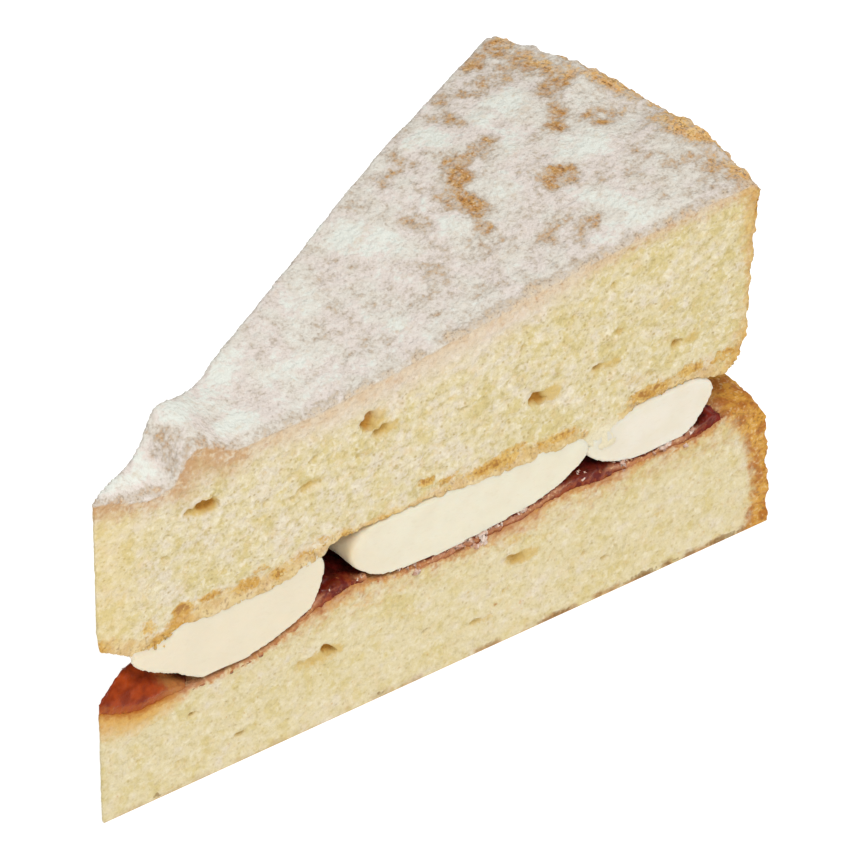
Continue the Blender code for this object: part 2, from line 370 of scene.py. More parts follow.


# %% [markdown]
# ## Upper sponge: shape
# The upper sponge carries the largest bubbles, seen on its front cut. Those are listed one by one, and the small
# ones are scattered. Each row gives a bubble's place along the cut and its height, its length, height and depth
# in millimetres, and its tilt in degrees. A voxel remesh then turns the solid into an even net that is fine
# enough to take relief.

# %% Cut the bubbles and remesh the upper sponge
upper_sponge = copy_of("upper_sponge", "sponge_upper")
UPPER_FRONT_BUBBLES = [
    (22.2, 55, 5.2, 3.4, 1.5, -12), (19.2, 55.2, 3.4, 1.7, 1, 5), (53.4, 57.4, 3.4, 4.4, 1.6, -30),
    (55.4, 54.4, 4.2, 2.6, 1.3, 12), (51.2, 51.6, 2.2, 1.5, 1.1, -25), (85.8, 46.6, 4.2, 3.2, 1.5, -8),
    (97.6, 47.2, 3.2, 2, 0.9, 10), (112.6, 45, 2.8, 1.9, 1, 10), (41.4, 49.8, 5, 2, 0.7, 8),
    (33.6, 50.4, 3, 1.4, 0.7, 14), (27.6, 53, 3.4, 1.1, 0.6, -12), (14.2, 48.4, 2.6, 1.4, 0.6, 6),
    (61.6, 64.2, 2.2, 1, 1.2, 12), (63, 40.6, 2.6, 1.4, 0.9, 4), (67.4, 54, 2.6, 1.5, 0.7, 10),
    (71.6, 51.4, 2, 1.3, 0.8, -8), (107.6, 41.2, 2.4, 1.6, 0.8, 6), (93.2, 59.8, 2.6, 1.2, 0.6, 10),
]
UPPER_BACK_BUBBLES = [(66, 52, 3.2, 1.8, 1.5, -12), (34, 57, 2.2, 1.4, 1.3, 18), (104, 60, 2.6, 1.5, 1.4, 10)]
UPPER_NET, LOWER_NET, JAM_NET, CREAM_NET = 0.44, 0.38, 0.4, 0.36  # millimetres


def listed_bubbles(front, back):
    """The bubbles that are listed for the two cuts."""
    return [bubble(FRONT, *row) for row in front] + [bubble(BACK, *row) for row in back]


def small_bubbles(seeds, **where):
    """Scattered bubbles on both cuts, each cut with its own seed."""
    return [made for cut, seed in zip((FRONT, BACK), seeds) for made in scattered_bubbles(cut, seed, **where)]


cut_bubbles(upper_sponge, listed_bubbles(UPPER_FRONT_BUBBLES, UPPER_BACK_BUBBLES))
cut_bubbles(upper_sponge, small_bubbles((4, 8), count=24, lowest=41, highest=63))
remesh(upper_sponge, UPPER_NET)
print("upper sponge:", triangles(upper_sponge), "triangles after the remesh")

# %% [markdown]
# ## Where the icing sugar lies
# Icing sugar was sieved over the top and part of it has soaked in. It is thick in some patches, and in others
# the brown bake shows through; two of the thin patches, on the ridge near the point, are painted shade on its
# flank. The patches that catch the eye are listed, each as along, across, half its length, half its width, its
# turn in degrees and its strength. Soft noise bends their edges and fills in what lies between, and the sugar
# thins out towards the front cut and the rim.

# %% List the patches and measure the sugar's thickness
THICK_SUGAR = [
    (98.5, 16.5, 4, 3, -50, 1), (95, 18, 3, 1.6, 12, 0.8), (107.5, 14, 2.6, 2, 0, 0.8), (113, 14, 4, 3.6, 0, 1),
    (106, 6.5, 5, 2.2, 42, 0.7), (113, -2.5, 5.2, 4.2, -20, 1), (97, -0.5, 4, 2.8, 20, 0.6),
    (85, 1, 3, 4, 0, 0.7), (86, 7, 2, 2, 0, 0.5), (74, 9, 8, 4, -62, 1), (72, 13, 4, 2.5, 10, 0.8),
    (106, -15, 3, 6, 25, 0.8), (104, -21, 9, 2.4, -13, 0.7), (64, -8, 2.6, 2.6, 0, 0.8), (71, 0, 2, 3, 0, 0.4),
    (57, 8, 4, 3, 20, 0.5), (36, 5.5, 7, 2.4, 12, 0.7), (31, -3, 4, 3, -12, 0.8), (24, 2.6, 5, 2.6, 12, 0.9),
    (9, 0.6, 6, 1.6, 5, 0.9), (46, -1, 6, 3, 0, 0.3),
]
# Thin sugar where the brown bake shows through. The rows at along 17.2 and 25 darken the flank of the ridge near
# the point: painted shade.
BARE_CRUST_AND_RIDGE_SHADE = [
    (94, 7, 3, 2.6, 30, 1.2), (91.4, 2.4, 2.6, 4.6, -8, 0.95), (97.6, 8.8, 5.5, 2.2, 10, 0.8),
    (102, 9.6, 3, 1.6, 0, 0.6), (90.2, -1.2, 2.6, 2.4, 0, 0.75), (88.4, -3.6, 2, 2.2, 0, 0.55),
    (96, 11, 3, 2, 30, 0.55), (88.6, 4.6, 2.2, 3, 0, 0.55), (104.4, -3.7, 3.2, 1.7, 0, 1.2),
    (102.2, -5.4, 1.6, 2, -20, 0.95), (106.8, -5.2, 1.3, 1.9, 0, 0.75), (104.4, -6.2, 2.4, 1.4, 0, 0.5),
    (113.6, 3.9, 1.9, 1.6, 0, 0.95), (116.4, 5.8, 3.2, 1.8, 35, 0.8), (118.5, 8.4, 2.6, 1.8, 20, 0.5),
    (121.2, 1.4, 3.6, 1.8, -10, 0.9), (120, -0.8, 2.6, 1.6, 0, 0.75), (123.4, -0.6, 2.4, 1.6, 0, 0.6),
    (121.5, 11.4, 4.6, 2.4, 10, 0.75), (125.5, 12.5, 2.4, 2.2, 0, 0.7), (127.4, 6, 2, 5, 0, 0.9),
    (118, 19.5, 5, 3.6, 0, 0.55), (123, 19, 3.2, 6, 0, 0.75), (124, 25.4, 4.4, 2.4, 12, 0.95),
    (117.4, 25, 4, 1.8, 12, 0.75), (113.5, 20.5, 3, 2.6, 0, 0.45), (109, 21.5, 3, 1.6, 12, 0.4),
    (103.4, 18, 2.4, 3.4, 0, 0.45), (106.4, 22, 1.6, 2, 0, 0.6), (91, 17.4, 2.4, 2.6, 0, 0.5),
    (87, 15, 4, 2, 0, 0.3), (82, 5.6, 3, 3.2, 0, 0.42), (77, -4, 4, 2.4, 0, 0.3), (86, -6, 4, 2, 0, 0.25),
    (127.2, -11.5, 3.4, 7, 0, 1), (124.6, -23, 3.6, 6, 10, 0.7), (94, -13, 4.5, 2.4, -14, 0.32),
    (98.5, -16, 4, 2, 0, 0.34), (119, -10.5, 3, 2.4, 0, 0.5), (120.5, -16.5, 3, 2.4, 0, 0.45),
    (114.5, -12, 3, 2.4, 0, 0.35), (17.2, 0, 1.8, 4.2, 8, 0.5), (25, -1.2, 5, 1.2, 36, 0.4),
    (57, 2, 5, 4, 0, 0.15),
]


def covered(along, across, listed):
    """From 0 to 1, how fully each point lies inside one of the listed patches."""
    inside = np.zeros_like(along)
    for centre_along, centre_across, length, width, turn, strength in listed:
        cos, sin = math.cos(math.radians(turn)), math.sin(math.radians(turn))
        off_along, off_across = along - centre_along, across - centre_across
        reach = np.hypot((off_along * cos + off_across * sin) / length,
                         (off_across * cos - off_along * sin) / width)
        inside = np.maximum(inside, strength * (1 - ease(0.3, 1.4, reach)))
    return inside


def sugar_thickness(piece, from_top):
    """From 0, bare, to 1, a thick white patch, at every point of the piece."""
    spots = places(piece)
    along, across, _ = spots
    wide, fine = patches(9, 1, *spots), patches(2.6, 2, *spots)
    bent_along, bent_across = along + 0.9 * wide + 0.9 * fine, across + 0.9 * patches(5, 3, *spots) - 0.9 * fine
    sugar = 0.53 + 0.08 * wide + 0.18 * fine + 0.12 * ease(75, 40, along)
    sugar += 0.42 * covered(bent_along, bent_across, THICK_SUGAR)
    sugar -= 0.55 * covered(bent_along, bent_across, BARE_CRUST_AND_RIDGE_SHADE)
    to_front = along * SIN + across * COS
    sugar *= 0.45 + 0.55 * ease(0.0, 2.8, to_front + 0.8 * fine)
    sugar *= 1 - ease(RIM - 3.4, RIM - 0.8, np.hypot(along, across) + 1.2 * fine)
    return np.clip(sugar, 0, 1) * (1 - ease(0.4, 1.0, from_top))


# %% [markdown]
# ## Upper sponge: relief
# The cut crumb gets soft waves, small open cells and a fine grain. The baked top stays smoother, and where the
# sugar is thin its skin is finely pimpled. The rim is the roughest, because it tore a little when the cake left
# its tin. Along the cut the crumb hangs over the cream a little, and most of all where the outer two rings meet.
# The underside lies on jam and cream, so it is thinned to fewer faces afterwards.

# %% Define the distances to all skins and a way to thin out faces
def skin_distances(piece, node, *reaches):
    """The distance of every point to the baked top, underside and rim, and how much it belongs to a cut."""
    asked = zip(("top", "under", "rim"), reaches or (6, 6, 6))
    top, under, rim = (distances(piece, node, skin, reach) for skin, reach in asked)
    return top, under, rim, ease(0.2, 0.9, np.minimum(np.minimum(top, under), rim))


def thin_out(piece, chosen, share=0.1):
    """Joins up faces where chosen(along, across, height, normal) is true, down to that share of them."""
    for face in piece.data.polygons:
        spot = face.center / MM
        face.select = bool(chosen(spot.x - CENTRE_X, spot.y, spot.z, face.normal))
    only(piece)
    bpy.ops.object.mode_set(mode="EDIT")
    bpy.ops.mesh.select_mode(type="FACE")
    bpy.ops.mesh.decimate(ratio=share)
    bpy.ops.object.mode_set(mode="OBJECT")


# %% Roughen the upper sponge
SUGAR_DEPTH = 0.3
from_top, from_under, from_rim, on_cut = skin_distances(upper_sponge, "upper_sponge")
along, across, height = places(upper_sponge)
off_point = 0.3 + 0.7 * ease(1.5, 9, along)
behind = behind_cut(along, across)
sugar = sugar_thickness(upper_sponge, from_top)
over_cream = np.maximum(span(along, 12.5, 17, 42, 46), span(along, 62, 76, 90, 94))
weigh(
    upper_sponge,
    cut=on_cut * off_point,
    top=(1 - ease(0.2, 0.8, from_top)) * (0.35 + 0.65 * ease(0.5, 4, behind)),
    rim=1 - ease(0.3, 1.5, from_rim),
    under=(1 - ease(0.3, 0.9, from_under)) * (0.25 + 0.75 * ease(14, 22, along)),
    sugar=sugar,
    thin_sugar=(1 - ease(0.2, 0.9, from_top)) * (1 - sugar) * ease(0.5, 3, behind),
    lip=(1 - ease(1.5, 3.0, from_under)) * ease(24, 16, along),
    sag=(1 - ease(0.3, 4.5, from_under)) * span(along, 90.5, 95, 96.5, 102),
    hang=(1 - ease(0.3, 2.2, from_under)) * over_cream,
)
for relief in (
    ("cut", "CLOUDS", 6, 0.45), ("cut", "VORONOI", 1.5, 0.5, 0.6, stretched), ("cut", "CLOUDS", 0.9, 0.6),
    ("top", "CLOUDS", 3.5, 0.5), ("top", "CLOUDS", 1.3, 0.32), ("thin_sugar", "CLOUDS", 0.9, 0.5),
    ("rim", "CLOUDS", 2.4, 1.4, 0.8), ("rim", "CLOUDS", 1.1, 0.5), ("under", "CLOUDS", 1.4, 1.0),
):
    roughen(upper_sponge, *relief)
swell(upper_sponge, SUGAR_DEPTH, "sugar")
finish_with(upper_sponge, "SMOOTH", factor=0.6, iterations=16, vertex_group="lip")
for where, out, down in (("sag", 0.42, 4.4), ("hang", 0.5, 1.1)):
    swell(upper_sponge, out, where)
    swell(upper_sponge, -down, where, direction="Z")
thin_out(upper_sponge, lambda along, across, height, normal:
         normal.z < -0.5 and height < 46 and behind_cut(along, across) > 3 and 22 < along < RIM - 3)
bpy.ops.object.shade_smooth()
print("upper sponge:", triangles(upper_sponge), "triangles")

# %% [markdown]
# ## Lower sponge: shape and relief
# The lower sponge is made in the same way. It stands on its browned base, which stays flat, and its top is out
# of sight under the jam, so both are thinned out and the cuts can have a finer net.

# %% Cut, remesh and roughen the lower sponge
LOWER_FRONT_BUBBLES = [
    (40.4, 13.6, 5.6, 3.2, 0.5, -8), (44.8, 14.4, 4.4, 1.9, 1.4, -32), (80.8, 15.8, 5.8, 2.8, 1, -6),
    (73.2, 6.2, 3.2, 1.8, 0.7, 4), (98.2, 7.6, 2, 1.3, 0.7, 0), (59.4, 15.8, 1.4, 1.3, 0.9, 0),
]
LOWER_BACK_BUBBLES = [(58, 13, 2.4, 1.3, 1.2, 10)]
lower_sponge = copy_of("lower_sponge", "sponge_lower")
cut_bubbles(lower_sponge, listed_bubbles(LOWER_FRONT_BUBBLES, LOWER_BACK_BUBBLES))
cut_bubbles(lower_sponge, small_bubbles((14, 18), count=18, lowest=2, highest=19))
remesh(lower_sponge, LOWER_NET)
thin_out(lower_sponge, lambda along, across, height, normal:
         abs(normal.z) > 0.7 and not 0.3 <= height <= 16 and behind_cut(along, across) > 2 and along < RIM - 4)

from_top, from_under, from_rim, on_cut = skin_distances(lower_sponge, "lower_sponge")
along, _, height = places(lower_sponge)
off_board = ease(0.2, 2.0, height)
weigh(
    lower_sponge,
    cut=on_cut * off_board * (0.3 + 0.7 * ease(1.5, 9, along)),
    top=1 - ease(0.2, 0.8, from_top),
    rim=(1 - ease(0.3, 1.5, from_rim)) * off_board,
)
for relief in (
    ("cut", "CLOUDS", 6, 0.45), ("cut", "VORONOI", 1.4, 0.4, 0.6, stretched), ("cut", "CLOUDS", 0.9, 0.45),
    ("top", "CLOUDS", 1.6, 0.4), ("rim", "CLOUDS", 2.4, 1.1), ("rim", "CLOUDS", 1.1, 0.5),
):
    roughen(lower_sponge, *relief)
bpy.ops.object.shade_smooth()
print("lower sponge:", triangles(lower_sponge), "triangles")

# %% [markdown]
# ## What the sponges remember
# The colours follow the same distances as the relief. They are taken again now that the net has changed, and
# kept on the mesh: how deep a point lies in a bubble, how far it is from each skin, and how much sugar it has.
# Short tables add what varies along the slice: how deep the jam has soaked in, how wide the browned edges are,
# and where single spots of gold, jam or cream lie on the cut, listed as the patches of sugar are.

# %% List what varies along the slice
SOAKED = [
    (0, 5.5), (7, 4.8), (14, 3.4), (19, 1.4), (38, 1.2), (42, 2.8), (48, 3.2), (52, 1.2), (60, 1), (66, 1.2),
    (70, 1.8), (76, 2.6), (83, 3.8), (86, 1.4), (92, 1.6), (97, 3), (101, 2.4), (106, 1.2), (113, 1.6),
    (118, 1.2),
]
EDGE_WIDTH = [(0, 4.6), (8, 3.4), (14, 3.4), (18, 6.4), (26, 6.4), (31, 4), (60, 3.6), (99, 3.4), (104, 3)]
GOLDEN_EDGE = [
    (0, 2.4), (6, 2), (18, 2.4), (22, 3), (38, 3), (42, 1.2), (46, 2.4), (49, 1.4), (60, 1.4), (68, 2.8),
    (80, 2.8), (84, 2.2), (90, 2), (93, 0.4), (98, 0.4), (101, 2.8), (126, 3.6),
]
BROWNED_TOP = [
    (0, 1), (6, 0.9), (9, 0.7), (15, 0.7), (18, 0.95), (26, 0.9), (30, 0.55), (46, 0.3), (75, 0.35), (99, 0.45),
    (104, 0.6), (120, 0.6), (126, 0.8),
]
GOLDEN_SPOTS = [
    (1.5, 36, 2.2, 1.4, -20, 0.8), (10.4, 35.8, 1.6, 2.2, 0, 0.7), (13.4, 32, 4, 2.2, 15, 0.75),
    (15, 34, 2, 2, 0, 0.7), (16.8, 36.6, 2.1, 1.5, 0, 1.3), (22, 36.6, 3, 0.9, 0, 0.8),
    (28.5, 35.8, 3.4, 1.3, 0, 0.85), (34.5, 35.2, 1.8, 1.2, 0, 1), (31, 37.6, 2, 0.8, 0, 0.7),
    (38.5, 36.5, 2.5, 0.9, 0, 0.6), (43, 37.6, 2.2, 0.8, 0, 0.6), (47.2, 36.2, 1.7, 1.4, 0, 1),
    (54, 36.6, 4, 0.8, 0, 0.6), (62.8, 39.9, 1.8, 0.9, 0, 1), (66, 38.6, 3, 0.9, 0, 0.7),
    (75, 37.4, 6.5, 1.3, 0, 1), (79, 38.6, 3, 1, 0, 0.8), (87, 37, 5, 1, 0, 0.85),
    (104.5, 37.8, 4.5, 1.6, 4, 1), (112.5, 38.6, 4, 1.6, 0, 0.75), (119, 38.2, 3.5, 1.6, 0, 0.8),
    (122, 35.8, 2.6, 2.4, 0, 0.95), (126.8, 64, 1.6, 4, 8, 1), (127.4, 69, 2.2, 2, 0, 1),
]
HOLES = [
    (21.4, 55.2, 3.4, 1.8, -8, 1), (53.4, 57.4, 1.9, 2.6, -20, 1), (55.4, 54.6, 2.8, 1.7, 0, 0.9),
    (85.8, 46.6, 2.4, 1.8, 0, 1), (97.6, 47.2, 2.1, 1.3, 0, 0.8), (112.6, 45, 1.8, 1.3, 0, 0.8),
    (41.4, 50, 3, 1.1, 8, 0.55), (51.2, 51.6, 1.4, 0.9, -20, 0.6), (102, 41.5, 3, 1, 0, 0.5),
    (42.4, 13.8, 4.2, 1.9, 0, 0.8), (44.8, 14.4, 2, 1, -32, 1), (80.8, 15.8, 3.4, 1.7, 0, 0.85),
    (79, 20, 3, 1.2, 0, 0.6), (73.2, 6.2, 1.8, 1, 0, 0.6), (106, 12, 1.8, 1.3, 0, 0.5),
]
CREAM_SMEAR = [(96, 32.5, 4.6, 3.6, 0, 1)]
CRUST_SPOTS = [
    (126.6, 22, 3, 5, 10, 1), (124.5, 28, 4, 3.4, 0, 1), (127.6, 12, 2.2, 7, 0, 0.9), (127, 3, 3.2, 3, 0, 0.9),
]
DARK_BASE = [
    (86.5, 0.4, 4, 0.6, 0, 0.8), (103, 0.5, 4, 0.8, 0, 0.9), (108, 0.4, 3, 0.6, 0, 0.7),
    (118, 0.6, 4.5, 0.8, 0, 0.95), (125, 0.8, 3, 0.9, 0, 0.8), (11, 0.8, 1.2, 0.7, 0, 0.8),
    (53, 0.8, 0.9, 0.7, 0, 0.8),
]
JAM_SMEAR = [(18, 23.2, 2.4, 0.8, 12, 0.75), (119.8, 29.8, 1.6, 4.2, -8, 1), (117.6, 26.2, 3, 1.3, 8, 0.8)]
UPPER_CRUST = [(36, 2.4), (45, 2), (54, 2.2), (60, 3.6), (66, 4.6), (72, 4.8)]
LOWER_CRUST = [(0, 5), (4, 4.2), (8, 3.6), (14, 3.8), (20, 5.6), (28, 7)]
print(len(GOLDEN_SPOTS), "golden spots and", len(HOLES), "golden hollows are listed")


# %% Keep the distances on both sponges
def read_off(table, values):
    """What a short table says at these values, with straight lines between its rows."""
    return np.interp(values, *zip(*table))


for piece, node in ((upper_sponge, "upper_sponge"), (lower_sponge, "lower_sponge")):
    along, across, height = places(piece)
    top, under, rim, on_cut = skin_distances(piece, node, 11, 7, 6)
    from_front = along * SIN + across * COS
    piece.vertex_groups.clear()
    remember(
        piece, from_top=top, from_under=under, from_rim=rim, from_front=from_front,
        holes=covered(along, height, HOLES) * (1 - ease(2, 4, from_front)),
        pit=np.maximum(behind_cut(along, across), 0) * on_cut * (along > 4),
    )
    if piece is upper_sponge:
        remember(
            piece, crust=read_off(UPPER_CRUST, height), sugar=sugar_thickness(piece, top),
            golden=read_off(GOLDEN_EDGE, along), browned=read_off(BROWNED_TOP, along),
            edge_width=read_off(EDGE_WIDTH, along), spots=covered(along, height, GOLDEN_SPOTS),
            cream_smear=covered(along, height, CREAM_SMEAR),
        )
    else:
        remember(
            piece, crust=read_off(LOWER_CRUST, height), soaked=read_off(SOAKED, along),
            spots=covered(along, height, CRUST_SPOTS), dark_base=covered(along, height, DARK_BASE),
            jam_smear=covered(along, height, JAM_SMEAR) * (1 - ease(2, 5, from_front)),
        )
    print(piece.name, "remembers", [kept.name for kept in piece.data.attributes if kept.data_type == "FLOAT"])

# %% [markdown]
# ## Tools for finishes
# A finish is a small tree of nodes. The helpers below add one node and wire it in one line, so that a recipe
# reads as a list: a noise of a size in millimetres, a soft step, a mix of two colours, a number that the mesh
# remembers. Patterns use Object coordinates, which are the model's own metres, so they never slide.

# %% Define the finish tools
def colour(code):
    """A colour from its six-figure code, as the shader wants it."""
    parts = (int(code[i:i + 2], 16) / 255 for i in (0, 2, 4))
    return (*(p / 12.92 if p <= 0.04045 else ((p + 0.055) / 1.055) ** 2.4 for p in parts), 1)


class Finish:
    """A material whose nodes are added one line at a time."""

    def __init__(self, name):
        self.material = bpy.data.materials.new(name)
        self.material.use_nodes = True
        self.nodes, self.links = self.material.node_tree.nodes, self.material.node_tree.links
        self.shader = self.nodes["Principled BSDF"]
        self.place = self.add("ShaderNodeTexCoord").outputs["Object"]

    def feed(self, socket, value):
        """Wires in what comes from a node, and sets a number or the colour that a code stands for."""
        if isinstance(value, bpy.types.NodeSocket):
            self.links.new(value, socket)
        else:
            socket.default_value = colour(value) if isinstance(value, str) else value

    def add(self, kind, values={}, **settings):
        """A node with these settings, each input wired to a socket or set to a value."""
        node = self.nodes.new(kind)
        for setting, value in settings.items():
            setattr(node, setting, value)
        for name, value in values.items():
            self.feed(node.inputs[name], value)
        return node

    def spot(self, shift=0, squash=1):
        """The point itself, moved so that patterns differ, and squashed so that they run along the layers."""
        return self.add("ShaderNodeMapping", {"Vector": self.place, "Location": (shift, shift, shift),
                                              "Scale": (1, 1, squash)}).outputs["Vector"]

    def noise(self, size, shift=0, detail=2, squash=1):
        """Soft noise from 0 to 1 with patches of that size in millimetres."""
        values = {"Vector": self.spot(shift, squash), "Scale": 1 / (size * MM), "Detail": detail}
        return self.add("ShaderNodeTexNoise", values).outputs["Fac"]

    def cells(self, size, shift):
        """Distance from the middle of round cells of that size in millimetres, and a random value for each."""
        found = self.add("ShaderNodeTexVoronoi", {"Vector": self.spot(shift), "Scale": 1 / (size * MM)})
        return found.outputs["Distance"], found.outputs["Color"]

    def recall(self, name):
        """A number that the mesh remembers for every point."""
        return self.add("ShaderNodeAttribute", attribute_name=name).outputs["Fac"]

    def along(self):
        """Millimetres from the cake's centre towards the rim."""
        return self.calculate("MULTIPLY_ADD", self.add("ShaderNodeSeparateXYZ", {0: self.place}).outputs["X"],
                              1 / MM, -CENTRE_X)

    def calculate(self, operation, *values):
        """The result of a Math node."""
        return self.add("ShaderNodeMath", dict(enumerate(values)), operation=operation).outputs["Value"]

    def plus(self, first, second):
        """Two numbers added."""
        return self.calculate("ADD", first, second)

    def times(self, first, second):
        """Two numbers multiplied."""
        return self.calculate("MULTIPLY", first, second)

    def frayed(self, name, noise, amount):
        """A remembered number, pushed up and down by that amount of a noise."""
        return self.calculate("MULTIPLY_ADD", noise, amount, self.recall(name))

    def reach(self, name, noise, amount, width):
        """A remembered distance, frayed by a noise, as a share of a remembered width."""
        return self.calculate("DIVIDE", self.frayed(name, noise, amount), self.recall(width))

    def blotches(self, *layers):
        """Soft noises added up around 0: each layer has a size in millimetres, a shift and a weight."""
        total = -0.5 * sum(weight for _, _, weight in layers)
        for size, shift, weight in layers:
            total = self.calculate("MULTIPLY_ADD", self.noise(size, shift, 1), weight, total)
        return total

    def step(self, value, start, end, low=0.0, high=1.0):
        """Goes smoothly from low at start to high at end."""
        values = {"Value": value, "From Min": start, "From Max": end, "To Min": low, "To Max": high}
        return self.add("ShaderNodeMapRange", values, interpolation_type="SMOOTHSTEP").outputs["Result"]

    def fall(self, value, start, end):
        """1 up to start and 0 from end on."""
        return self.step(value, start, end, 1.0, 0.0)

    def mix(self, share, first, second):
        """The first colour, with a share of the second over it."""
        return self.add("ShaderNodeMix", {0: share, 6: first, 7: second}, data_type="RGBA").outputs[2]

    def layers(self, base, *layers):
        """A colour with others laid over it in turn, each given by its share and its colour."""
        for share, over in layers:
            base = self.mix(share, base, over)
        return base

    def give(self, **sockets):
        """Wires or sets the shader's own inputs; an underscore stands for a space."""
        for name, value in sockets.items():
            self.feed(self.shader.inputs[name.replace("_", " ")], value)

    def bump(self, height, depth):
        """A fine relief of that depth in millimetres."""
        made = self.add("ShaderNodeBump", {"Height": height, "Distance": depth * MM, "Strength": 1.0})
        self.links.new(made.outputs["Normal"], self.shader.inputs["Normal"])


# %% [markdown]
# ## Crumb, crust and sugar
# Both sponges share two recipes. The crumb is pale yellow with warmer and paler clouds, a fine grain and a few
# dark dots of painted shade in tiny pores, and it turns golden brown down in the bubbles, darker with depth as
# painted shade. The baked skins are golden brown, and noise frays their edge against the crumb. Icing sugar is
# greenish white where it is thick and pinkish where it is thin, and where it is thinnest only specks of it lie in
# the hollows of the brown skin.

# %% Mix the colours of the crumb and the crust
def crumb_colour(f, yellow, contrast):
    """Pale crumb with olive yellow and pinkish clouds, fine pale and dark grains, dark dots of painted shade in
    tiny pores, and golden hollows that darken with depth as painted shade.
    """
    hue = f.plus(f.blotches((7, 1, 0.9 * contrast), (3, 3, 0.9 * contrast), (1.5, 4, 0.8 * contrast)), yellow)
    warm = f.blotches((2.4, 6, 1.0), (1.0, 8, 0.8))
    light = f.blotches((1.8, 5, 0.9), (0.9, 7, 0.9), (0.5, 9, 0.7))
    near, kind = f.cells(0.9, 31)
    pore_shade = f.times(f.fall(near, 0.1, 0.42), f.step(kind, 0.55, 0.8, 0, 0.65 * contrast))
    holes = f.plus(f.blotches((0.9, 35, 0.7), (0.5, 36, 0.7)), f.recall("holes"))
    pit = f.recall("pit")
    return f.layers(
        "DED1B7",
        (f.step(hue, -0.28, 0.0), "DCCEA6"),
        (f.step(hue, 0.0, 0.28), "D5C48D"),
        (f.step(warm, 0.0, 0.35, 0, 0.35 * contrast), "DDBE8C"),
        (f.step(light, 0.0, 0.4, 0, 0.6 * contrast), "F0E7D0"),
        (f.step(light, -0.4, 0.0, 0.75 * contrast, 0), "C2B078"),
        # Dark dots of painted shade in tiny pores.
        (pore_shade, "B0965E"),
        (f.step(holes, 0.2, 0.9, 0, 0.75), "CFAE62"),
        # Golden and darker with depth behind the cut: the crumb's own tone in the bubbles, darkened as painted
        # shade.
        (f.step(pit, 0.15, 0.75, 0, 0.7), "CAA95E"),
        (f.step(pit, 0.6, 1.4), "B98536"),
    )


def crust_colour(f, light, dark, specks, shift=0):
    """A baked skin that turns from light to dark in patches, with a share of dark and of pale grains."""
    grain = f.blotches((0.8, 4 + shift, 1.0), (0.45, 6 + shift, 0.8))
    return f.layers(
        light,
        (f.step(f.noise(2.2, 1 + shift), 0.38, 0.62), dark),
        (f.step(grain, 0.03, 0.35, 0, specks), "8A5A28"),
        (f.step(grain, -0.4, -0.05, 0.7 * specks, 0), "EFD9A6"),
    )


def dry(f, surface):
    """Gives the finish that colour with a dull, dry surface."""
    f.give(Base_Color=surface, Roughness=0.85, Specular_IOR_Level=0.2)


def sponge_surface(f, surface, depth):
    """A dry surface of that colour with the fine relief of crumb, of that depth in millimetres."""
    dry(f, surface)
    f.bump(f.plus(f.noise(0.5, 19, 1), f.times(f.noise(1.1, 25, 1), 2.0)), depth)
    return f.material


